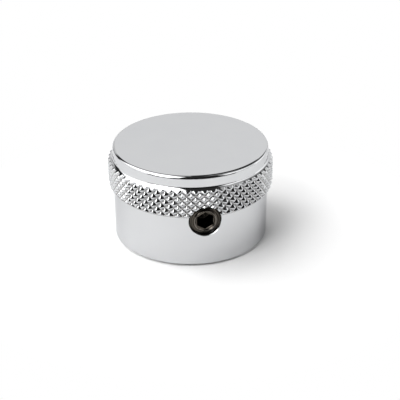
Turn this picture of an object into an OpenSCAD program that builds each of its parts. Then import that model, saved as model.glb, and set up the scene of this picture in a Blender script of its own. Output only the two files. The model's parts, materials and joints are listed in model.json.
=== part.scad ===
// Flat-top control knob for a 6 mm potentiometer shaft: a one-piece turned body with a
// diamond-knurled grip band, locked to the shaft by a socket set screw in its side.
// The knob stands on its rim at z = 0, its axis is Z, and the set screw faces -Y.

/* [Turned body] */
// Diameter of the plain skirt and of the flat top
body_d = 20; // [18:0.1:30]
// Height of the plain skirt, from the base to the knurled band
skirt_h = 7.05; // [6.6:0.05:12]
// Height of the conical shoulder above the band
shoulder_h = 0.5; // [0.3:0.05:1.5]
// Height of the plain wall from the shoulder to the flat top
wall_h = 1.5; // [0.8:0.05:4]
// Radius of the edge round the flat top
top_edge_r = 0.45; // [0.1:0.05:0.6]
// Width of the bevel along the foot of the skirt
foot_bevel = 0.5; // [0.05:0.05:0.6]
// Height of that bevel
foot_rise = 0.35; // [0.05:0.05:0.6]

/* [Knurled band] */
// Height of the band at its full diameter
band_h = 3.45; // [2:0.05:8]
// How far the knurl's points stand out from the skirt
knurl_rise = 0.65; // [0.5:0.05:1]
// Depth of the knurl's grooves below its points
knurl_depth = 0.4; // [0.2:0.05:0.45]
// Number of grooves of each hand round the band
knurl_count = 60; // [40:1:80]
// Slope of the grooves, measured from the knob's axis
knurl_angle = 45; // [35:1:55]
// Height of the lowest row of points above the band's lower edge
first_row = 0.15; // [0.1:0.01:0.5]
// Bevel along the band's lower edge
lip_bevel = 0.35; // [0.1:0.05:0.4]

/* [Shaft bore] */
// Diameter of the potentiometer's plain shaft
shaft_d = 6; // [4:0.05:6.4]
// Gap between the shaft and the bore, on the radius
shaft_clearance = 0.04; // [0.02:0.01:0.05]
// Thickness of the metal left between the bore and the flat top
roof_t = 2.1; // [1:0.05:3]

/* [Nut recess] */
// Diameter of the recess that clears the potentiometer's nut
recess_d = 14.5; // [10:0.1:16]
// Depth of the recess, up from the base
recess_depth = 3; // [1:0.1:3.6]
// Bevel at the recess's mouth
recess_bevel = 0.3; // [0.1:0.05:0.8]

/* [Set screw] */
// Outside diameter of the screw's thread
screw_d = 4; // [4:0.5:5]
// Length of the screw
screw_l = 6; // [5:0.5:6]
// Height of the screw's axis above the base
screw_z = 6.35; // [6:0.05:8]
// How far the screw's end lies below the skirt's surface
screw_sink = 0.05; // [0:0.05:1]
// Gap between the screw and its tapped hole, on the radius
thread_clearance = 0.04; // [0.02:0.01:0.1]
// Width of the hexagon socket across its flats
socket_af = 2; // [1.5:0.5:2]
// Depth of the hexagon socket
socket_depth = 2.5; // [1.5:0.1:3]
// Width of the bevel at both ends of the screw, on the radius
screw_bevel = 0.46; // [0.1:0.02:0.6]
// Slope of that bevel, measured from the screw's end
screw_bevel_angle = 20; // [15:1:45]
// Diameter of the cup ground into the screw's point
cup_d = 2; // [1:0.1:2.4]

/* [Hidden] */
$fn = 96;

// Heights up the body
band_z = skirt_h;
shoulder_z = band_z + band_h;
wall_z = shoulder_z + shoulder_h;
height = wall_z + wall_h;

// Radii of the body
body_r = body_d / 2;
knurl_r = body_r + knurl_rise;
groove_r = knurl_r - knurl_depth;
lip_r = knurl_r - lip_bevel;
bore_r = shaft_d / 2 + shaft_clearance;

// Metal left on the blank outside the knurl's points, and room for a cut to run past a face
knurl_stock = 0.2;
stock_r = knurl_r + knurl_stock;
overrun = 1;

// Half the knurl's pitch round the band and along its height, and the rows that reach past both edges
half_turn = 180 / knurl_count;
row_h = PI * knurl_r / knurl_count / tan(knurl_angle);
lowest_row = -ceil(first_row / row_h);
highest_row = ceil((band_h + shoulder_h - first_row) / row_h);

// Slopes of the socket's drilled bottom and of the point's cup, and sizes of the screw and its socket
drill_slope = tan(30);
cup_slope = tan(45);
bevel_depth = screw_bevel * tan(screw_bevel_angle);
screw_r = screw_d / 2 - thread_clearance;
socket_r = socket_af / 2 / cos(30);

// Outline of the turned blank on one side of its axis, before it is knurled
module blank_outline() {
    shoulder_slope = shoulder_h / knurl_rise;
    polygon([
        [0, 0], [body_r - foot_bevel, 0], [body_r, foot_rise],
        [body_r, height - top_edge_r], [0, height - top_edge_r]
    ]);
    square([body_r - top_edge_r, height]);
    translate([body_r - top_edge_r, height - top_edge_r]) circle(top_edge_r);
    polygon([
        [0, band_z], [lip_r, band_z], [stock_r, band_z + stock_r - lip_r],
        [stock_r, wall_z - (stock_r - body_r) * shoulder_slope], [body_r, wall_z], [0, wall_z]
    ]);
}

// Ring that leaves rows of four-sided points when it is cut from the blank. Its inner wall is a
// lattice at half the knurl's pitch, on which points and groove crossings take turns, and each
// cell is split along the groove that joins its two crossings.
module knurl_cutter() {
    columns = 2 * knurl_count;
    rows = highest_row - lowest_row;
    outer_r = stock_r + overrun;
    function is_point(column, row) = (column + row + lowest_row) % 2 == 0;
    function ring_point(r, column, z) =
        [r * cos(column * half_turn - 90), r * sin(column * half_turn - 90), z];
    function row_z(row) = band_z + first_row + (row + lowest_row) * row_h;
    function inner(column, row) = row * columns + column % columns;
    function outer(column, end) = (rows + 1 + end) * columns + column % columns;

    lattice = [
        for (row = [0:rows], column = [0:columns - 1])
            ring_point(is_point(column, row) ? knurl_r : groove_r, column, row_z(row))
    ];
    sleeve = [
        for (end = [0:1], column = [0:columns - 1]) ring_point(outer_r, column, row_z(end * rows))
    ];
    lattice_faces = [
        for (row = [0:rows - 1], column = [0:columns - 1])
            let (a = inner(column, row), b = inner(column + 1, row),
                 c = inner(column + 1, row + 1), d = inner(column, row + 1))
            each is_point(column, row) ? [[a, b, d], [b, c, d]] : [[a, b, c], [a, c, d]]
    ];
    end_faces = [
        for (column = [0:columns - 1])
            let (next = column + 1)
            each [
                [inner(column, 0), outer(column, 0), outer(next, 0)],
                [inner(column, 0), outer(next, 0), inner(next, 0)],
                [inner(column, rows), outer(next, 1), outer(column, 1)],
                [inner(column, rows), inner(next, rows), outer(next, 1)],
                [outer(column, 0), outer(column, 1), outer(next, 1)],
                [outer(column, 0), outer(next, 1), outer(next, 0)]
            ]
    ];
    polyhedron(concat(lattice, sleeve), concat(lattice_faces, end_faces));
}

// Shallow recess in the base, with a bevel at its mouth
module nut_recess() {
    recess_r = recess_d / 2;
    mouth_r = recess_r + recess_bevel + overrun;
    translate([0, 0, -overrun]) {
        cylinder(r = recess_r, h = recess_depth + overrun);
        cylinder(r1 = mouth_r, r2 = recess_r, h = recess_bevel + overrun);
    }
}

// Blind hole for the shaft, up from the recess's floor
module shaft_bore() {
    cylinder(r = bore_r, h = height - roof_t);
}

// Tapped hole through the wall, drawn at the thread's outside diameter
module screw_hole() {
    translate([0, 0, screw_z]) rotate([90, 0, 0]) cylinder(d = screw_d, h = stock_r + overrun);
}

// Places the set screw's own axis on the knob: z = 0 at its outer end, +z towards the shaft
module at_screw() {
    translate([0, screw_sink - body_r, screw_z]) rotate([-90, 0, 0]) children();
}

module knob_body() {
    color("silver") difference() {
        rotate_extrude() blank_outline();
        knurl_cutter();
        nut_recess();
        shaft_bore();
        screw_hole();
    }
}

module set_screw() {
    color("dimgray") at_screw() difference() {
        rotate_extrude() polygon([
            [0, 0], [screw_r - screw_bevel, 0], [screw_r, bevel_depth],
            [screw_r, screw_l - bevel_depth], [screw_r - screw_bevel, screw_l], [0, screw_l]
        ]);
        // Hexagon socket with a drilled bottom, one corner pointing down
        rotate(30) translate([0, 0, -overrun]) cylinder(r = socket_r, h = socket_depth + overrun, $fn = 6);
        translate([0, 0, socket_depth]) cylinder(d1 = socket_af, d2 = 0, h = socket_af / 2 * drill_slope);
        // Cup at the point
        translate([0, 0, screw_l - cup_d / 2 * cup_slope])
            cylinder(r1 = 0, r2 = cup_d / 2 + overrun / cup_slope, h = cup_d / 2 * cup_slope + overrun);
    }
}

knob_body();
set_screw();
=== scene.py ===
"""Chrome-plated guitar knob with a diamond-knurled band and a black set screw, on a white studio floor.

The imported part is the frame: each piece made here replaces one of its solids, at the same place and size.
Lengths are metres, the knob stands on its rim at z = 0, its axis is Z and the set screw faces -Y.
"""
import json
import math

import bpy
import numpy as np
from bpy.props import FloatProperty, FloatVectorProperty, IntProperty, PointerProperty
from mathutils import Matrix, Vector


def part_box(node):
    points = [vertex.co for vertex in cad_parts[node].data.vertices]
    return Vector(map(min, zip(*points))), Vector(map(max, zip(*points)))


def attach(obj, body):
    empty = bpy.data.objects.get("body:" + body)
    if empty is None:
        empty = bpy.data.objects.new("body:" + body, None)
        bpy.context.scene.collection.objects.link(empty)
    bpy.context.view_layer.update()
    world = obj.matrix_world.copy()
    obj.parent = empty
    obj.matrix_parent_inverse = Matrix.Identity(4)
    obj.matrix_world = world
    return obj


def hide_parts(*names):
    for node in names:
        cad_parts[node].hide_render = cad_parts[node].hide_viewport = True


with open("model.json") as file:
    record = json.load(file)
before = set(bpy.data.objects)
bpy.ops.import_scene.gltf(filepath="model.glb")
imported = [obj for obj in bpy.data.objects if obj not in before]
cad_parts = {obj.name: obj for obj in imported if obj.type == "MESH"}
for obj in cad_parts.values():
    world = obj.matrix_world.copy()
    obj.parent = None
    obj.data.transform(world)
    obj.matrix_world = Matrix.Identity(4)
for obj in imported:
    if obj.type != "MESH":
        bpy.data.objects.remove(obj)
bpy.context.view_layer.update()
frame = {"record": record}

bl_info = {
    "name": "Guitar knob",
    "version": (1, 0, 0),
    "blender": (4, 5, 0),
    "location": "View3D > Sidebar > Knob",
    "description": "Chrome-plated knurled knob with its set screw, on a white studio floor",
    "category": "Object",
}

MM = 0.001
BODY = "root"

# Step from the end of a straight stretch to the point beside it
EDGE_STEP = 0.02 * MM
# Steps of the body's grid in half a knurl pitch, and columns of the grids of the screw and its hole
KNURL_STEPS, SCREW_COLUMNS = 7, 96
# Rows of those two grids in one pitch of the thread
SCREW_ROWS, HOLE_ROWS = 20, 9
# Roundings of the knurl's grooves, ridges and flats, and the level of the flats, as shares of its depth
GROOVE_ROUND, RIDGE_ROUND, FLAT_LEVEL, FLAT_ROUND = 0.06, 0.08, 0.82, 0.2
# Bend from which an edge of the body or of the screw is sharp
BODY_SHARP, SCREW_SHARP = math.radians(60), math.radians(35)
# Radius of the floor, and the radii between which it turns to plain white for the camera
FLOOR_RADIUS, SHADE_END, WHITE_START = 0.6, 18 * MM, 34 * MM
# Width of the camera's sensor in mm, and the nearest that it sees
SENSOR_WIDTH, NEAREST = 36, 10 * MM

# The studio's own level, and the cards in it that the chrome mirrors. Each has its azimuths, elevations
# and softness in degrees, its level and its slant, and covers the cards before it.
SKY_LEVEL = 1.07
SKY_CARDS = {
    "wall on the right": ((58, 136), (3, 52), 4, 1.6, 0),
    "grey foot of that wall": ((60, 104), (8, 24), 3, 0.75, 0),
    "dark ceiling on the right": ((-20, 181), (52, 91), 4, 0.04, 0),
    "dark strip at the back right": ((132, 181), (37, 60), 3, 0.06, 0),
    "grey slope on the right": ((74, 136), (46, 140), 3, 0.55, 0.56),
    "dark slope above it": ((104, 146), (47, 140), 3, 0.05, 0.87),
    "grey ceiling at the back left": ((-181, -120), (42, 91), 3, 0.4, 0),
    "foot of the left wall": ((-122, -18), (4, 40), 4, 1.35, 0),
    "left wall": ((-122, -18), (27, 77), 4, 2.75, 0),
    "bright window in it": ((-58, -27), (28, 50), 3, 7.0, 0),
    "dark room low behind the camera": ((-62, 66), (1, 20), 2, 0.02, 0),
    "dark room behind the camera": ((-34, 50), (8, 34), 3, 0.02, 0),
    "dark room above the camera": ((-17, 50), (26, 60), 3, 0.02, 0),
    "dark zenith": ((-181, 181), (79, 91), 3, 0.03, 0),
    "dark corner at the back left": ((-146, -118), (0, 42), 3, 0.03, 0),
    "pale patch behind it": ((-160, -135), (5, 24), 4, 0.8, 0),
}

body_low, body_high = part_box("knob_body")
screw_low, screw_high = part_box("set_screw")
shaft_bore = next(m for m in frame["record"]["mounts"] if m["name"] == "shaft_bore")


def linear(hex_colour):
    """Linear red, green and blue of an sRGB hex colour such as #C0C0C0."""
    shares = [int(hex_colour[i:i + 2], 16) / 255 for i in (1, 3, 5)]
    return tuple(c / 12.92 if c <= 0.04045 else ((c + 0.055) / 1.055) ** 2.4 for c in shares)


def length(name, description, default):
    """A length setting, shown in the scene's units."""
    return FloatProperty(name=name, description=description, default=default, unit="LENGTH", precision=5)


def angle(name, description, degrees):
    """An angle setting, given in degrees."""
    return FloatProperty(name=name, description=description, default=math.radians(degrees), subtype="ANGLE")


def colour(name, description, hex_colour):
    """A colour setting, given as an sRGB hex value."""
    return FloatVectorProperty(
        name=name, description=description, default=linear(hex_colour), subtype="COLOR", min=0, max=1)


class KnobSizes(bpy.types.PropertyGroup):
    """Sizes of the turned body."""
    points_radius: length("Radius over the points", "From the axis to the knurl's points", body_high.x)
    height: length("Height", "From the rim to the flat top", body_high.z)
    knurl_rise: length("Knurl rise", "How far the points stand out from the skirt", 0.65 * MM)
    skirt_height: length("Skirt height", "From the rim to the knurled band", 7.05 * MM)
    band_height: length("Band height", "Height of the band at its full diameter", 3.45 * MM)
    shoulder_height: length("Shoulder height", "Height of the cone above the band", 0.5 * MM)
    top_edge: length("Top edge", "Radius of the edge round the flat top", 0.45 * MM)
    foot_bevel: length("Foot bevel", "Width of the bevel along the foot of the skirt", 0.5 * MM)
    foot_rise: length("Foot rise", "Height of that bevel", 0.35 * MM)
    corner: length("Inner corner", "Radius left by the tool below the band", 0.06 * MM)
    wall_corner: length("Wall corner", "Rounding between the wall and the shoulder", 0.2 * MM)
    band_edge: length("Band edges", "Rounding of the knurl's upper and lower edges", 0.05 * MM)
    knurl_depth: length("Knurl depth", "Depth of the grooves below the points", 0.4 * MM)
    knurl_count: IntProperty(name="Knurl count", description="Grooves of each hand", default=60, min=12)
    knurl_angle: angle("Knurl angle", "Slope of the grooves, from the axis", 45)
    knurl_turn: angle("Knurl turn", "Turn of the pattern from the set screw", -0.9)
    first_row: length("First row", "Lowest row of points above the band's lower edge", 0.15 * MM)
    lip_bevel: length("Lip bevel", "Bevel along the band's lower edge", 0.35 * MM)
    bore_radius: length("Bore radius", "Radius of the shaft bore", shaft_bore["dims"]["r_mm"] * MM)
    bore_length: length("Bore length", "Length of the bore's wall", shaft_bore["dims"]["length_mm"] * MM)
    recess_radius: length("Recess radius", "Radius of the nut recess", 7.25 * MM)
    recess_depth: length("Recess depth", "Depth of the nut recess", 3 * MM)
    recess_bevel: length("Recess bevel", "Bevel at the recess's mouth", 0.3 * MM)
    hole_rim: length("Hole rim", "Bevel at the mouth of the screw's hole", 0.08 * MM)

    @property
    def skirt_radius(self):
        """From the axis to the skirt and the plain wall."""
        return self.points_radius - self.knurl_rise

    @property
    def band_top(self):
        """Height at which the shoulder's cone starts."""
        return self.skirt_height + self.band_height

    @property
    def wall_foot(self):
        """Height at which the shoulder's cone ends."""
        return self.band_top + self.shoulder_height

    @property
    def bore_end(self):
        """Height of the blind end of the bore."""
        return self.recess_depth + self.bore_length

    @property
    def row_height(self):
        """Half the knurl's pitch along the band's height."""
        return self.points_radius * (math.pi / self.knurl_count) / math.tan(self.knurl_angle)

    @property
    def groove_radius(self):
        """From the axis to the bottom of the grooves, below points that the polish has flattened."""
        return self.points_radius - self.knurl_depth * smooth_min(1 - GROOVE_ROUND, FLAT_LEVEL, FLAT_ROUND)


class ScrewSizes(bpy.types.PropertyGroup):
    """Sizes of the set screw, along an axis that runs from its outer end to its point."""
    radius: length("Radius", "Outside radius of the thread", (screw_high.x - screw_low.x) / 2)
    outer_end: length("Outer end", "From the knob's axis to the screw's outer end", -screw_low.y)
    full_length: length("Length", "From the outer end to the point", screw_high.y - screw_low.y)
    axis_height: length("Axis height", "Height of the screw's axis", (screw_low.z + screw_high.z) / 2)
    pitch: length("Pitch", "Pitch of the thread", 0.7 * MM)
    thread_depth: length("Thread depth", "Depth of the thread", 0.43 * MM)
    gap: length("Thread gap", "Gap between the screw and its hole", 0.04 * MM)
    rim_radius: length("Rim radius", "Radius of the raised rim round the socket", 1.33 * MM)
    rim_round: length("Rim rounding", "Rounding of that rim", 0.05 * MM)
    rim_height: length("Rim height", "Height of that rim above the face round the socket", 0.1 * MM)
    rim_slope: angle("Rim slope", "Slope of both sides of that rim", 45)
    bevel: angle("Bevel", "Slope of the bevel at both ends", 20)
    bevel_radius: length("Bevel radius", "Outside radius of that bevel", 1.91 * MM)
    edge_slope: angle("Edge slope", "Slope from the bevel to the thread", 60)
    socket_flats: length("Socket", "Width of the hexagon socket across its flats", 2 * MM)
    socket_depth: length("Socket depth", "Depth of the hexagon socket", 2.5 * MM)
    socket_edge: length("Socket edge", "Bevel at the socket's mouth", 0.03 * MM)
    drill_slope: angle("Drill slope", "Slope of the socket's drilled bottom", 30)
    cup_radius: length("Cup radius", "Radius of the cup at the point", 1 * MM)

    @property
    def hole_radius(self):
        """Radius of the tapped hole at its mouth."""
        return self.radius + self.gap


class Finishes(bpy.types.PropertyGroup):
    """Colours of the finishes."""
    chrome: colour("Chrome", "Polished chrome plate", "#CDCECF")
    chrome_haze: colour("Chrome haze", "Chrome plate where it is a little duller", "#C9CACC")
    # Painted shade: a darker colour along the bottom of the knurl's grooves
    groove_shade: colour("Groove shade", "Painted shade deep in the knurl's grooves", "#ADACAA")
    chrome_edge: colour("Chrome edge", "Share of its gloss that chrome keeps at a grazing angle", "#E1E1E2")
    inside: colour("Inside", "Thin dull plate inside the recess and the bore", "#B9B2A4")
    # Painted shade: the thread in the tapped hole is coloured nearly black
    thread: colour("Tapped thread", "Tapped hole's thread, darkened as painted shade", "#2B2823")
    oxide: colour("Black oxide", "Black oxide on the set screw", "#555049")
    oxide_dark: colour("Dark oxide", "Black oxide in the hollows of the turned rings", "#151311")
    worn_steel: colour("Worn steel", "Steel where the oxide is rubbed away", "#6A655F")
    floor: colour("Floor", "Matte white floor", "#F4F4F4")


class Studio(bpy.types.PropertyGroup):
    """Where the camera stands and how the studio is lit."""
    azimuth: angle("Azimuth", "Camera's turn round the knob, from the set screw's side", -10.4)
    distance: length("Distance", "Camera's distance from the knob's axis, along the floor", 119.5 * MM)
    camera_height: length("Camera height", "Camera's height above the floor", 67.4 * MM)
    aim_right: length("Aim right", "How far right of the axis the camera aims", 1.23 * MM)
    aim_height: length("Aim height", "Height on the axis at which the camera aims", 4.1 * MM)
    lens: FloatProperty(name="Lens", description="Focal length on a 36 mm wide sensor, in mm", default=92.4)
    lamp_power: FloatProperty(name="Lamp", description="Power of the softbox", default=0.082, unit="POWER")
    lamp_azimuth: angle("Lamp azimuth", "Softbox's turn round the knob, from the camera to its right", -134)
    lamp_elevation: angle("Lamp elevation", "Softbox's angle above the floor", 62)
    lamp_distance: length("Lamp distance", "From the knob's base to the softbox", 140 * MM)
    lamp_size: length("Lamp size", "Side of the softbox", 120 * MM)


def straight(start, end):
    """Outline points on a line, with one close to each end.

    The close points keep the flat between them flat to the eye where it meets a rounded edge.
    """
    start, end = np.array(start), np.array(end)
    step = EDGE_STEP * (end - start) / np.linalg.norm(end - start)
    return np.stack([start, start + step, end - step, end])


def arc(centre, radius, from_degrees, to_degrees, steps):
    """Outline points on a part of a circle, at even turns from one angle to another."""
    turn = np.radians(np.linspace(from_degrees, to_degrees, steps + 1))
    return np.array(centre) + radius * np.stack([np.cos(turn), np.sin(turn)], axis=1)


def smooth_min(first, second, blend):
    """The lower of two surfaces, rounded where they cross.

    The rounding takes off the square of what their difference leaves of the blend, over four blends.
    """
    return np.minimum(first, second) - np.maximum(blend - np.abs(first - second), 0) ** 2 / (4 * blend)


def even_turns(columns):
    """Angles of a grid's columns, evenly spaced round a full turn."""
    return 2 * math.pi * np.arange(columns) / columns


def rings(outlines, columns):
    """Radius and height grids, a row for each outline point and a column for each turn."""
    points = np.concatenate(outlines)
    return np.repeat(points[:, :1], columns, axis=1), np.repeat(points[:, 1:], columns, axis=1)


def turned_surface(turn, radius, height, first_pole, last_pole):
    """Points and triangles of a closed surface round an axis.

    A point at row i and column j lies radius[i, j] from the axis, at turn[j] round it and height[i, j]
    along it. The rows run up the outside, and a pole on the axis closes each end. A cell has the corners a,
    b, c and d in turn, and is split along its lower diagonal, so that grooves which cross the grid stay
    sharp and straight.
    """
    rows, columns = radius.shape
    ring_points = np.stack([radius * np.cos(turn), radius * np.sin(turn), height], axis=2).reshape(-1, 3)
    points = np.concatenate([ring_points, [[0, 0, first_pole], [0, 0, last_pole]]])
    index = np.arange(rows * columns).reshape(rows, columns)
    after = np.roll(index, -1, axis=1)
    a, b, c, d = index[:-1].ravel(), after[:-1].ravel(), after[1:].ravel(), index[1:].ravel()
    flat = radius.ravel()
    low_ac = (flat[a] + flat[c] < flat[b] + flat[d])[:, None]
    triangles = np.concatenate([
        np.where(low_ac, np.stack([a, b, c], axis=1), np.stack([a, b, d], axis=1)),
        np.where(low_ac, np.stack([a, c, d], axis=1), np.stack([b, c, d], axis=1)),
        np.stack([np.full(columns, rows * columns), after[0], index[0]], axis=1),
        np.stack([index[-1], after[-1], np.full(columns, rows * columns + 1)], axis=1),
    ])
    return points, triangles


def triangle_mesh(name, points, triangles):
    """A mesh from arrays of points and triangles, shaded smooth."""
    mesh = bpy.data.meshes.new(name)
    mesh.vertices.add(len(points))
    mesh.vertices.foreach_set("co", points.astype(np.float32).ravel())
    mesh.loops.add(triangles.size)
    mesh.loops.foreach_set("vertex_index", triangles.astype(np.int32).ravel())
    mesh.polygons.add(len(triangles))
    mesh.polygons.foreach_set("loop_start", np.arange(0, triangles.size, 3, dtype=np.int32))
    mesh.update(calc_edges=True)
    mesh.validate()
    mesh.polygons.foreach_set("use_smooth", np.ones(len(triangles), dtype=bool))
    return mesh


def shown(name, data):
    """A new object in the scene that shows a mesh, lamp or camera, at the origin."""
    piece = bpy.data.objects.new(name, data)
    bpy.context.scene.collection.objects.link(piece)
    return piece


def replace_node(piece, node):
    """Makes a piece stand for a CAD node on the part's one body, and hides the node."""
    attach(piece, BODY)
    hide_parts(node)


def knurled_radius(turn, height, knob):
    """Radius of the knurled band at a turn from the screw's side and at a height.

    Two sets of V grooves cross on it, one of each hand. Each set is a wave that is 0 on a groove and rises
    straight to 1 halfway to the next, with its lowest part rounded. The lower of the two waves leaves
    rows of four-sided points, and the polish has flattened their tips.
    """
    column = (turn - knob.knurl_turn) / (math.pi / knob.knurl_count)
    row = (height - knob.skirt_height - knob.first_row) / knob.row_height
    waves = []
    for hand in (1, -1):
        groove = (column + hand * row) / 2
        wave = 1 - 2 * np.abs(groove - np.round(groove))
        waves.append(np.hypot(wave, GROOVE_ROUND) - GROOVE_ROUND)
    rise = smooth_min(smooth_min(*waves, RIDGE_ROUND), FLAT_LEVEL, FLAT_ROUND)
    return knob.points_radius - knob.knurl_depth * (rise.max() - rise)


def band_radius(turn, height, knob):
    """Radius of the band and the shoulder.

    It is the lowest of the knurl, the shoulder's cone and the lip's bevel, and the cone runs into the wall.
    """
    cone = knob.skirt_radius + (knob.wall_foot - height) * knob.knurl_rise / knob.shoulder_height
    shoulder = -smooth_min(-cone, -knob.skirt_radius, knob.wall_corner)
    lip = knob.points_radius - knob.lip_bevel + height - knob.skirt_height
    below_shoulder = smooth_min(knurled_radius(turn, height, knob), shoulder, knob.band_edge)
    return smooth_min(below_shoulder, lip, knob.band_edge)


def body_surface(knob):
    """Points and triangles of the turned body, before its screw hole.

    Its outline runs from the end of the bore down to the rim, up the skirt, over the band and in across
    the flat top. The band's rows keep step with the grooves, at an even share of half their pitch.
    """
    corner_steps, top_steps, wall_corner_rows = 4, 12, 13
    skirt, corner, top = knob.skirt_radius, knob.corner, knob.top_edge
    underside = [
        (knob.bore_radius, knob.bore_end),
        (knob.bore_radius, knob.recess_depth),
        (knob.recess_radius, knob.recess_depth),
        (knob.recess_radius, knob.recess_bevel),
        (knob.recess_radius + knob.recess_bevel, 0),
        (skirt - knob.foot_bevel, 0),
        (skirt, knob.foot_rise),
        (skirt, knob.skirt_height - corner),
    ]
    below = [straight(start, end)[:-1] for start, end in zip(underside, underside[1:])]
    below.append(arc((skirt + corner, knob.skirt_height - corner), corner, 180, 90, corner_steps))
    above = [
        straight((skirt, knob.wall_foot + knob.wall_corner), (skirt, knob.height - top))[1:-1],
        arc((skirt - top, knob.height - top), top, 0, 90, top_steps),
        [(skirt - top - EDGE_STEP, knob.height), (skirt / 2, knob.height)],
    ]

    step = knob.row_height / KNURL_STEPS
    start = knob.skirt_height + knob.first_row
    corner_foot, corner_top = knob.wall_foot - knob.wall_corner, knob.wall_foot + knob.wall_corner
    lowest = math.ceil(0.5 - knob.first_row / step)
    highest = math.floor((corner_foot - start) / step - 0.5)
    band_rows = np.concatenate([
        [knob.skirt_height],
        start + step * np.arange(lowest, highest + 1),
        np.linspace(corner_foot, corner_top, wall_corner_rows),
    ])

    columns = 2 * knob.knurl_count * KNURL_STEPS
    turn = even_turns(columns) + knob.knurl_turn
    band_height = np.repeat(band_rows[:, None], columns, axis=1)
    below_radius, below_height = rings(below, columns)
    above_radius, above_height = rings(above, columns)
    radius = np.concatenate([below_radius, band_radius(turn, band_height, knob), above_radius])
    height = np.concatenate([below_height, band_height, above_height])
    return turned_surface(turn - math.pi / 2, radius, height, knob.bore_end, knob.height)


def thread_radius(turn, along, screw):
    """Radius of the screw's thread: a wave that falls from crest to root and back once a pitch.

    It moves along by one pitch in each turn, right-handed, and a share of each crest and root is flat.
    """
    crest_flat, root_flat = 0.12, 0.2
    step = along / screw.pitch - turn / (2 * math.pi)
    fall = 2 * np.abs(step - np.round(step))
    depth = np.clip((fall - crest_flat) / (1 - crest_flat - root_flat), 0, 1)
    return screw.radius - screw.thread_depth * depth


def on_screw_axis(points, screw):
    """Turns points from a screw's own axis to the knob: along it is +Y, and its turn 0 points up."""
    return np.stack(
        [points[:, 1], points[:, 2] - screw.outer_end, points[:, 0] + screw.axis_height], axis=1)


def rim_end(knob, screw):
    """Radius across the screw's hole at which the bevel of its rim has run out of the skirt."""
    return screw.hole_radius + 2 * knob.hole_rim


def hole_surface(knob, screw):
    """Points and triangles of the tapped hole that is cut from the body.

    It is the screw's own thread with a gap round it, widened by a cone at its outer end. Its rim is a bevel
    that follows the skirt: at a radius q across the hole it lies on a cylinder round the knob whose radius
    grows with q.
    """
    overrun, land, cone_slope = 1 * MM, 0.05 * MM, 4
    turn = even_turns(SCREW_COLUMNS)
    mouth, inner_end = screw.hole_radius, screw.outer_end - knob.bore_radius / 2
    rim_radius = np.array([[rim_end(knob, screw)], [rim_end(knob, screw)], [mouth]])
    cylinder = knob.skirt_radius - knob.hole_rim + rim_radius - mouth
    rim_along = screw.outer_end - np.sqrt(cylinder ** 2 - (rim_radius * np.sin(turn)) ** 2)
    rim_along[0] = screw.outer_end - knob.points_radius - overrun
    start = rim_along[2].max() + land
    along = np.linspace(start, inner_end, HOLE_ROWS * math.ceil(inner_end / screw.pitch))[:, None]
    thread = np.maximum(thread_radius(turn, along, screw) + screw.gap, mouth - cone_slope * (along - start))
    radius = np.concatenate([np.repeat(rim_radius, SCREW_COLUMNS, axis=1), thread])
    height = np.concatenate([rim_along, np.repeat(along, SCREW_COLUMNS, axis=1)])
    points, triangles = turned_surface(turn, radius, height, rim_along[0, 0], along[-1, 0])
    return on_screw_axis(points, screw), triangles


def screw_surface(screw):
    """Points and triangles of the set screw.

    Its outline runs from the drilled bottom of the socket, out along the hexagon to the face round it, over
    a raised rim to the bevel, and down the thread to the cup. A hexagon's radius is half its width over the
    cosine of the turn from the nearest flat. The thread deepens from nothing over its first half pitch.
    """
    rim_steps = 8
    turn = even_turns(SCREW_COLUMNS)
    flats, edge, face = screw.socket_flats / 2, screw.socket_edge, screw.rim_height
    hexagon = flats / np.cos(np.mod(turn, math.pi / 3) - math.pi / 6)
    drill_depth = screw.socket_depth + flats * math.tan(screw.drill_slope)
    socket = np.stack([np.full(SCREW_COLUMNS, flats), hexagon, hexagon, hexagon + edge])
    socket_along = np.array([screw.socket_depth, screw.socket_depth, face + edge, face])

    slope = math.degrees(screw.rim_slope)
    bend = arc((screw.rim_radius, screw.rim_round), screw.rim_round, -90 - slope, -90 + slope, rim_steps)
    flank = (face - bend[0, 1]) / math.tan(screw.rim_slope)
    rim_start, bevel_start = bend[0, 0] - flank, bend[-1, 0] + flank
    rim = np.concatenate([[(rim_start - edge, face), (rim_start, face)], bend])
    rim_radius, rim_along = rings([rim], SCREW_COLUMNS)

    bevel_end = face + (screw.bevel_radius - bevel_start) * math.tan(screw.bevel)
    rows = SCREW_ROWS * math.ceil(screw.full_length / screw.pitch)
    along = np.linspace(face, screw.full_length, rows)[:, None]
    from_end = np.minimum(along, screw.full_length + face - along)
    deep = np.clip((from_end - bevel_end) / (screw.pitch / 2), 0, 1)
    thread = screw.radius - deep * (screw.radius - thread_radius(turn, along, screw))
    bevel = bevel_start + (from_end - face) / math.tan(screw.bevel)
    shoulder = screw.bevel_radius + np.maximum(from_end - bevel_end, 0) / math.tan(screw.edge_slope)
    thread = np.minimum(np.minimum(thread, bevel), shoulder)

    radius = np.concatenate([socket, rim_radius, thread, np.full((1, SCREW_COLUMNS), screw.cup_radius)])
    height = np.concatenate([socket_along, rim_along[:, 0], along[:, 0], [screw.full_length]])
    height = np.repeat(height[:, None], SCREW_COLUMNS, axis=1)
    cup_depth = screw.full_length - screw.cup_radius
    points, triangles = turned_surface(turn, radius, height, drill_depth, cup_depth)
    return on_screw_axis(points, screw), triangles


def cut(piece, cutter):
    """Cuts a closed mesh out of a piece's mesh, and removes the cutter."""
    boolean = piece.modifiers.new("screw_hole", "BOOLEAN")
    boolean.operation, boolean.solver, boolean.object = "DIFFERENCE", "EXACT", cutter
    graph = bpy.context.evaluated_depsgraph_get()
    result = bpy.data.meshes.new_from_object(piece.evaluated_get(graph))
    piece.modifiers.clear()
    piece.data = result
    bpy.data.objects.remove(cutter)


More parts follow.
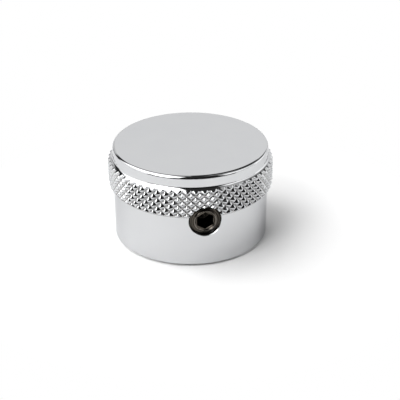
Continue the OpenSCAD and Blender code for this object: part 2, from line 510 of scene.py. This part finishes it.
def face_groups(mesh, knob, screw):
    """The finish of each face of the body, and 1 for those in the screw's hole or its mouth's bevel.

    Finish 0 is polished chrome, 1 the dull plate in the recess and the bore, and 2 the tapped thread,
    painted dark as shade.
    """
    margin, skin = 0.01 * MM, 0.003 * MM
    centres = np.empty(3 * len(mesh.polygons), dtype=np.float32)
    mesh.polygons.foreach_get("center", centres)
    x, y, z = centres.reshape(-1, 3).T
    from_axis = np.hypot(x, y)
    from_screw = np.where(y < 0, np.hypot(x, z - screw.axis_height), np.inf)
    in_recess = (from_axis < knob.recess_radius + margin) & (z > margin) & (z < knob.bore_end + margin)
    in_hole = from_screw < screw.hole_radius - margin
    in_hole &= (from_axis > knob.bore_radius + margin) & (z > knob.recess_depth + margin)
    at_mouth = (from_screw < rim_end(knob, screw)) & (from_axis < knob.skirt_radius - skin)
    return np.where(in_hole, 2, in_recess).astype(np.int32), at_mouth.astype(np.int32)


def sharpen_between(mesh, group):
    """Marks the edges between faces of different groups as sharp."""
    sides = np.empty(len(mesh.loops), dtype=np.int32)
    mesh.loops.foreach_get("edge_index", sides)
    corners = np.empty(len(mesh.polygons), dtype=np.int32)
    mesh.polygons.foreach_get("loop_total", corners)
    of_side = np.repeat(group, corners)
    low, high = np.full(len(mesh.edges), group.max()), np.full(len(mesh.edges), group.min())
    np.minimum.at(low, sides, of_side)
    np.maximum.at(high, sides, of_side)
    sharp = np.empty(len(mesh.edges), dtype=bool)
    mesh.edges.foreach_get("use_edge_sharp", sharp)
    mesh.edges.foreach_set("use_edge_sharp", sharp | (low < high))


def add_node(tree, kind, inputs=None, **settings):
    """Adds a node, sets its properties, and sets or links its inputs.

    An input goes by its name, or by its number where a node has several of one name.
    """
    node = tree.nodes.new(kind)
    for name, value in settings.items():
        setattr(node, name, value)
    for socket, value in (inputs or {}).items():
        if isinstance(value, bpy.types.NodeSocket):
            tree.links.new(value, node.inputs[socket])
        else:
            node.inputs[socket].default_value = value
    return node


def new_material(name):
    """A new material, its empty node tree and its Object coordinates."""
    material = bpy.data.materials.new(name)
    material.use_nodes = True
    tree = material.node_tree
    tree.nodes.clear()
    return material, tree, add_node(tree, "ShaderNodeTexCoord").outputs["Object"]


def lathe_place(tree, place, across, around, axis=(0, 0, 1)):
    """Coordinates for the marks that a turning tool leaves round an axis through the place's origin.

    Gives the radius, and coordinates in which one unit is the length across when measured over the marks,
    along the radius or the axis, and the length around when measured along their run.
    """
    off_axis = tuple(1 - share for share in axis)
    flat = add_node(
        tree, "ShaderNodeVectorMath", {0: place, 1: off_axis}, operation="MULTIPLY").outputs[0]
    radius = add_node(tree, "ShaderNodeVectorMath", {0: flat}, operation="LENGTH").outputs["Value"]
    height = add_node(
        tree, "ShaderNodeVectorMath", {0: place, 1: axis}, operation="DOT_PRODUCT").outputs["Value"]
    profile = add_node(tree, "ShaderNodeMath", {0: radius, 1: height}, operation="ADD").outputs[0]
    marks = add_node(tree, "ShaderNodeMath", {0: profile, 1: 1 / across}, operation="MULTIPLY").outputs[0]
    stacked = add_node(
        tree, "ShaderNodeVectorMath", {0: axis, "Scale": marks}, operation="SCALE").outputs[0]
    spread = add_node(
        tree, "ShaderNodeVectorMath", {0: flat, "Scale": 1 / around}, operation="SCALE").outputs[0]
    turned = add_node(tree, "ShaderNodeVectorMath", {0: spread, 1: stacked}, operation="ADD").outputs[0]
    return radius, turned


def groove_shade(tree, place, radius, knob):
    """Share of painted shade: 1 at the bottom of the knurl's grooves, 0 above it and off the band."""
    reach, fade = 0.02 * MM, 0.05 * MM
    shade_top = knob.groove_radius + reach
    band_top = knob.band_top - fade
    height = add_node(tree, "ShaderNodeSeparateXYZ", {"Vector": place}).outputs["Z"]
    limits = (
        # value, where the painted shade ends and where it is full
        (radius, shade_top + fade, shade_top),
        (radius, knob.skirt_radius + reach, knob.skirt_radius + fade),
        (height, band_top, band_top - fade),
    )
    painted_shade_share = 1.0
    for value, none, full in limits:
        limit = add_node(tree, "ShaderNodeMapRange", {"Value": value, "From Min": none, "From Max": full})
        painted_shade_share = add_node(
            tree, "ShaderNodeMath", {0: painted_shade_share, 1: limit.outputs[0]}, operation="MULTIPLY").outputs[0]
    return painted_shade_share


def polished_chrome(finish, knob):
    """Bright chrome plate over polished brass.

    A mirror with a faint haze in patches of a few millimetres and the last traces of the polishing mop,
    which are drawn as coarse as they need to be to show. Along the bottom of the knurl's grooves its colour
    is darker, a painted shade that draws a dull line.
    """
    haze_size, mop_width, mop_run, mop_depth = 3 * MM, 0.12 * MM, 6 * MM, 0.02 * MM
    material, tree, place = new_material("polished_chrome_plate")
    radius, turned = lathe_place(tree, place, mop_width, mop_run)
    haze = add_node(
        tree, "ShaderNodeTexNoise", {"Vector": place, "Scale": 1 / haze_size, "Detail": 3.0}).outputs["Fac"]
    mop = add_node(
        tree, "ShaderNodeTexNoise", {"Vector": turned, "Scale": 1.0, "Detail": 2.0}).outputs["Fac"]
    tint = add_node(
        tree, "ShaderNodeMix", {"Factor": haze, 6: (*finish.chrome, 1), 7: (*finish.chrome_haze, 1)},
        data_type="RGBA").outputs[2]
    # Painted shade: the base colour darkens along the bottom of the knurl's grooves
    painted_shade_share = groove_shade(tree, place, radius, knob)
    base = add_node(
        tree, "ShaderNodeMix", {"Factor": painted_shade_share, 6: tint, 7: (*finish.groove_shade, 1)},
        data_type="RGBA").outputs[2]
    both = add_node(tree, "ShaderNodeMath", {0: haze, 1: mop}, operation="ADD").outputs[0]
    roughness = add_node(
        tree, "ShaderNodeMapRange",
        {"Value": both, "From Min": 0.6, "From Max": 1.4, "To Min": 0.03, "To Max": 0.08}).outputs[0]
    bump = add_node(
        tree, "ShaderNodeBump", {"Height": mop, "Strength": 0.02, "Distance": mop_depth}).outputs[0]
    shader = add_node(tree, "ShaderNodeBsdfPrincipled", {
        "Base Color": base, "Roughness": roughness, "Normal": bump,
        "Metallic": 1.0, "Specular Tint": (*finish.chrome_edge, 1)})
    add_node(tree, "ShaderNodeOutputMaterial", {"Surface": shader.outputs["BSDF"]})
    return material


def dull_plate(finish):
    """Thin dull plate in the recess and the bore, where plating hardly reaches.

    Boring marks run round it, and the brass below warms its colour.
    """
    mark_width, mark_run, mark_depth = 0.1 * MM, 20 * MM, 0.02 * MM
    material, tree, place = new_material("thin_plate_on_bored_brass")
    turned = lathe_place(tree, place, mark_width, mark_run)[1]
    marks = add_node(
        tree, "ShaderNodeTexNoise", {"Vector": turned, "Scale": 1.0, "Detail": 3.0}).outputs["Fac"]
    roughness = add_node(
        tree, "ShaderNodeMapRange", {"Value": marks, "To Min": 0.22, "To Max": 0.42}).outputs[0]
    bump = add_node(
        tree, "ShaderNodeBump", {"Height": marks, "Strength": 0.25, "Distance": mark_depth}).outputs[0]
    shader = add_node(tree, "ShaderNodeBsdfPrincipled", {
        "Base Color": (*finish.inside, 1), "Roughness": roughness, "Normal": bump, "Metallic": 1.0})
    add_node(tree, "ShaderNodeOutputMaterial", {"Surface": shader.outputs["BSDF"]})
    return material


def painted_shade_thread(finish):
    """Brass thread in the tapped hole, painted dark as shade, so that the hole reads as black."""
    stain_size = 0.2 * MM
    material, tree, place = new_material("thread_in_painted_shade")
    stains = add_node(
        tree, "ShaderNodeTexNoise",
        {"Vector": place, "Scale": 1 / stain_size, "Detail": 3.0}).outputs["Fac"]
    roughness = add_node(
        tree, "ShaderNodeMapRange", {"Value": stains, "To Min": 0.4, "To Max": 0.6}).outputs[0]
    shader = add_node(tree, "ShaderNodeBsdfPrincipled", {
        "Base Color": (*finish.thread, 1), "Roughness": roughness, "Metallic": 1.0})
    add_node(tree, "ShaderNodeOutputMaterial", {"Surface": shader.outputs["BSDF"]})
    return material


def black_oxide(finish, screw):
    """Black oxide on turned steel.

    A dark brownish sheen over fine rings from the tool, which break up the highlights. On the rim round the
    socket the key has rubbed it through to bare steel.
    """
    ring_width, ring_run, ring_depth = 0.13 * MM, 2.5 * MM, 0.03 * MM
    worn_full, worn_end = 0.04 * MM, 0.08 * MM
    material, tree, place = new_material("black_oxide_steel")
    on_axis = add_node(
        tree, "ShaderNodeVectorMath", {0: place, 1: (0, 0, screw.axis_height)},
        operation="SUBTRACT").outputs[0]
    radius, turned = lathe_place(tree, on_axis, ring_width, ring_run, axis=(0, 1, 0))
    marks = add_node(
        tree, "ShaderNodeTexNoise", {"Vector": turned, "Scale": 1.0, "Detail": 3.0}).outputs["Fac"]
    share = add_node(
        tree, "ShaderNodeMapRange", {"Value": marks, "From Min": 0.35, "From Max": 0.65}).outputs[0]
    tint = add_node(
        tree, "ShaderNodeMix", {"Factor": share, 6: (*finish.oxide_dark, 1), 7: (*finish.oxide, 1)},
        data_type="RGBA").outputs[2]
    past_rim = add_node(
        tree, "ShaderNodeMath", {0: radius, 1: screw.rim_radius}, operation="SUBTRACT").outputs[0]
    off_rim = add_node(tree, "ShaderNodeMath", {0: past_rim}, operation="ABSOLUTE").outputs[0]
    worn = add_node(
        tree, "ShaderNodeMapRange",
        {"Value": off_rim, "From Min": worn_end, "From Max": worn_full}).outputs[0]
    base = add_node(
        tree, "ShaderNodeMix", {"Factor": worn, 6: tint, 7: (*finish.worn_steel, 1)},
        data_type="RGBA").outputs[2]
    roughness = add_node(
        tree, "ShaderNodeMapRange", {"Value": marks, "To Min": 0.07, "To Max": 0.16}).outputs[0]
    bump = add_node(
        tree, "ShaderNodeBump", {"Height": marks, "Strength": 0.5, "Distance": ring_depth}).outputs[0]
    shader = add_node(tree, "ShaderNodeBsdfPrincipled", {
        "Base Color": base, "Roughness": roughness, "Normal": bump, "Metallic": 1.0})
    add_node(tree, "ShaderNodeOutputMaterial", {"Surface": shader.outputs["BSDF"]})
    return material


class KNOB_OT_turned_body(bpy.types.Operator):
    """Makes the turned and knurled body with its tapped screw hole"""
    bl_idname = "knob.turned_body"
    bl_label = "Turned body"

    def execute(self, context):
        scene = context.scene
        knob, screw, finish = scene.knob_sizes, scene.screw_sizes, scene.knob_finishes
        piece = shown("turned_body", triangle_mesh("turned_body", *body_surface(knob)))
        cut(piece, shown("hole", triangle_mesh("hole", *hole_surface(knob, screw))))
        mesh = piece.data
        mesh.materials.clear()
        for material in (polished_chrome(finish, knob), dull_plate(finish), painted_shade_thread(finish)):
            mesh.materials.append(material)
        finish_index, at_mouth = face_groups(mesh, knob, screw)
        mesh.polygons.foreach_set("material_index", finish_index)
        mesh.set_sharp_from_angle(angle=BODY_SHARP)
        sharpen_between(mesh, at_mouth)
        replace_node(piece, "knob_body")
        return {"FINISHED"}


class KNOB_OT_set_screw(bpy.types.Operator):
    """Makes the threaded set screw with its hexagon socket"""
    bl_idname = "knob.set_screw"
    bl_label = "Set screw"

    def execute(self, context):
        screw, finish = context.scene.screw_sizes, context.scene.knob_finishes
        mesh = triangle_mesh("socket_set_screw", *screw_surface(screw))
        mesh.materials.append(black_oxide(finish, screw))
        mesh.set_sharp_from_angle(angle=SCREW_SHARP)
        replace_node(shown("socket_set_screw", mesh), "set_screw")
        return {"FINISHED"}


def soft_card(tree, azimuth, elevation, azimuths, elevations, soft_degrees, slant):
    """A soft-edged card in the sky: 1 inside a range of azimuth and of elevation in degrees, 0 outside.

    A slant lowers the card by so many degrees for each degree from its first azimuth.
    """
    if slant:
        along = add_node(
            tree, "ShaderNodeMath", {0: azimuth, 1: math.radians(azimuths[0])}, operation="SUBTRACT")
        elevation = add_node(
            tree, "ShaderNodeMath", {0: along.outputs[0], 1: slant, 2: elevation},
            operation="MULTIPLY_ADD").outputs[0]
    soft = math.radians(soft_degrees)
    card = 1.0
    for value, (low, high) in ((azimuth, azimuths), (elevation, elevations)):
        for edge, inwards in ((math.radians(low), soft), (math.radians(high), -soft)):
            side = add_node(
                tree, "ShaderNodeMapRange",
                {"Value": value, "From Min": edge - inwards, "From Max": edge + inwards},
                interpolation_type="SMOOTHSTEP").outputs[0]
            card = add_node(tree, "ShaderNodeMath", {0: card, 1: side}, operation="MULTIPLY").outputs[0]
    return card


def studio_sky(world, studio):
    """A white studio, hung with the bright and dark cards that the chrome mirrors.

    Azimuth is 0 at the camera and grows to its right. Rays from the camera see plain white.
    """
    world.use_nodes = True
    tree = world.node_tree
    tree.nodes.clear()
    ray = add_node(tree, "ShaderNodeTexCoord").outputs["Generated"]
    turned = add_node(
        tree, "ShaderNodeVectorRotate", {"Vector": ray, "Angle": -studio.azimuth}, rotation_type="Z_AXIS")
    parts = add_node(tree, "ShaderNodeSeparateXYZ", {"Vector": turned.outputs[0]})
    towards = add_node(tree, "ShaderNodeMath", {0: parts.outputs["Y"], 1: -1.0}, operation="MULTIPLY")
    azimuth = add_node(
        tree, "ShaderNodeMath", {0: parts.outputs["X"], 1: towards.outputs[0]},
        operation="ARCTAN2").outputs[0]
    elevation = add_node(tree, "ShaderNodeMath", {0: parts.outputs["Z"]}, operation="ARCSINE").outputs[0]
    level = SKY_LEVEL
    for name, (azimuths, elevations, soft, card_level, slant) in SKY_CARDS.items():
        card = soft_card(tree, azimuth, elevation, azimuths, elevations, soft, slant)
        level = add_node(
            tree, "ShaderNodeMix", {"Factor": card, 2: level, 3: card_level},
            data_type="FLOAT", label=name).outputs[0]
    from_camera = add_node(tree, "ShaderNodeLightPath").outputs["Is Camera Ray"]
    seen = add_node(tree, "ShaderNodeMix", {"Factor": from_camera, 2: level, 3: 1.0}, data_type="FLOAT")
    background = add_node(
        tree, "ShaderNodeBackground", {"Color": (1, 1, 1, 1), "Strength": seen.outputs[0]})
    add_node(tree, "ShaderNodeOutputWorld", {"Surface": background.outputs[0]})


def floor_paper(finish):
    """Matte white paper, lit and shaded round the knob and plain white further out."""
    grain_size, grain_depth = 0.3 * MM, 0.01 * MM
    material, tree, place = new_material("white_paper")
    grain = add_node(
        tree, "ShaderNodeTexNoise",
        {"Vector": place, "Scale": 1 / grain_size, "Detail": 3.0}).outputs["Fac"]
    bump = add_node(
        tree, "ShaderNodeBump", {"Height": grain, "Strength": 0.05, "Distance": grain_depth}).outputs[0]
    shader = add_node(tree, "ShaderNodeBsdfPrincipled", {
        "Base Color": (*finish.floor, 1), "Roughness": 1.0, "Specular IOR Level": 0.0, "Normal": bump})
    away = add_node(tree, "ShaderNodeVectorMath", {0: place}, operation="LENGTH").outputs["Value"]
    far = add_node(
        tree, "ShaderNodeMapRange", {"Value": away, "From Min": SHADE_END, "From Max": WHITE_START},
        interpolation_type="SMOOTHSTEP").outputs[0]
    from_camera = add_node(tree, "ShaderNodeLightPath").outputs["Is Camera Ray"]
    plain = add_node(tree, "ShaderNodeMath", {0: far, 1: from_camera}, operation="MULTIPLY").outputs[0]
    white = add_node(tree, "ShaderNodeEmission", {"Strength": 1.0})
    mixed = add_node(
        tree, "ShaderNodeMixShader", {"Fac": plain, 1: shader.outputs["BSDF"], 2: white.outputs[0]})
    add_node(tree, "ShaderNodeOutputMaterial", {"Surface": mixed.outputs[0]})
    return material


def floor_surface(radius, rows=24, columns=96):
    """Points and triangles of a round floor at z = 0.

    They lie on rings whose radius grows with the square of their number, round a point at the centre.
    """
    turn = even_turns(columns)
    ring = radius * (np.arange(1, rows + 1) / rows)[:, None] ** 2
    level = np.zeros((rows, columns))
    points = np.stack([ring * np.cos(turn), ring * np.sin(turn), level], axis=2).reshape(-1, 3)
    index = np.arange(rows * columns).reshape(rows, columns)
    after = np.roll(index, -1, axis=1)
    centre = np.full(columns, rows * columns)
    triangles = np.concatenate([
        np.stack([index[:-1].ravel(), index[1:].ravel(), after[1:].ravel()], axis=1),
        np.stack([index[:-1].ravel(), after[1:].ravel(), after[:-1].ravel()], axis=1),
        np.stack([centre, index[0], after[0]], axis=1),
    ])
    return np.concatenate([points, [[0, 0, 0]]]), triangles


def aimed(name, data, place, target):
    """A new lamp or camera in the scene at a place, which looks at a target."""
    piece = shown(name, data)
    piece.location = place
    piece.rotation_mode = "QUATERNION"
    piece.rotation_quaternion = (target - place).to_track_quat("-Z", "Y")
    return piece


class KNOB_OT_studio(bpy.types.Operator):
    """Makes the white floor, the softbox, the studio's sky and the camera"""
    bl_idname = "knob.studio"
    bl_label = "Studio"

    def execute(self, context):
        scene, studio = context.scene, context.scene.knob_studio
        scene.view_settings.view_transform = "Standard"
        floor = shown("floor", triangle_mesh("floor", *floor_surface(FLOOR_RADIUS)))
        floor.data.materials.append(floor_paper(scene.knob_finishes))
        scene.world = bpy.data.worlds.new("studio")
        studio_sky(scene.world, studio)

        right = Vector((math.cos(studio.azimuth), math.sin(studio.azimuth), 0))
        front = Vector((math.sin(studio.azimuth), -math.cos(studio.azimuth), 0))
        up = Vector((0, 0, 1))
        beside = math.sin(studio.lamp_azimuth) * right + math.cos(studio.lamp_azimuth) * front
        to_lamp = math.cos(studio.lamp_elevation) * beside + math.sin(studio.lamp_elevation) * up
        lamp = bpy.data.lights.new("softbox", "AREA")
        lamp.energy, lamp.size = studio.lamp_power, studio.lamp_size
        softbox = aimed("softbox", lamp, studio.lamp_distance * to_lamp, Vector((0, 0, 0)))
        # The cards in the sky stand for the softbox in reflections
        softbox.visible_glossy = False

        camera = bpy.data.cameras.new("camera")
        camera.lens, camera.sensor_width, camera.clip_start = studio.lens, SENSOR_WIDTH, NEAREST
        place = studio.distance * front + studio.camera_height * up
        aim = studio.aim_right * right + studio.aim_height * up
        scene.camera = aimed("camera", camera, place, aim)
        return {"FINISHED"}


class KNOB_PT_pieces(bpy.types.Panel):
    """Lists the knob's pieces and the studio"""
    bl_idname = "KNOB_PT_pieces"
    bl_label = "Guitar knob"
    bl_space_type = "VIEW_3D"
    bl_region_type = "UI"
    bl_category = "Knob"

    def draw(self, context):
        for operator in OPERATORS:
            self.layout.operator(operator.bl_idname)


OPERATORS = (KNOB_OT_turned_body, KNOB_OT_set_screw, KNOB_OT_studio)
GROUPS = {
    "knob_sizes": KnobSizes,
    "screw_sizes": ScrewSizes,
    "knob_finishes": Finishes,
    "knob_studio": Studio,
}


def register():
    """Registers the classes and hangs the settings on the scene."""
    for cls in (*GROUPS.values(), *OPERATORS, KNOB_PT_pieces):
        bpy.utils.register_class(cls)
    for name, group in GROUPS.items():
        setattr(bpy.types.Scene, name, PointerProperty(type=group))


def unregister():
    """Takes the settings and the classes away again."""
    for name in GROUPS:
        delattr(bpy.types.Scene, name)
    for cls in (KNOB_PT_pieces, *reversed(OPERATORS), *GROUPS.values()):
        bpy.utils.unregister_class(cls)


def main():
    """Makes the pieces and the studio in order."""
    register()
    bpy.ops.knob.turned_body()
    bpy.ops.knob.set_screw()
    bpy.ops.knob.studio()


if __name__ == "__main__":
    main()
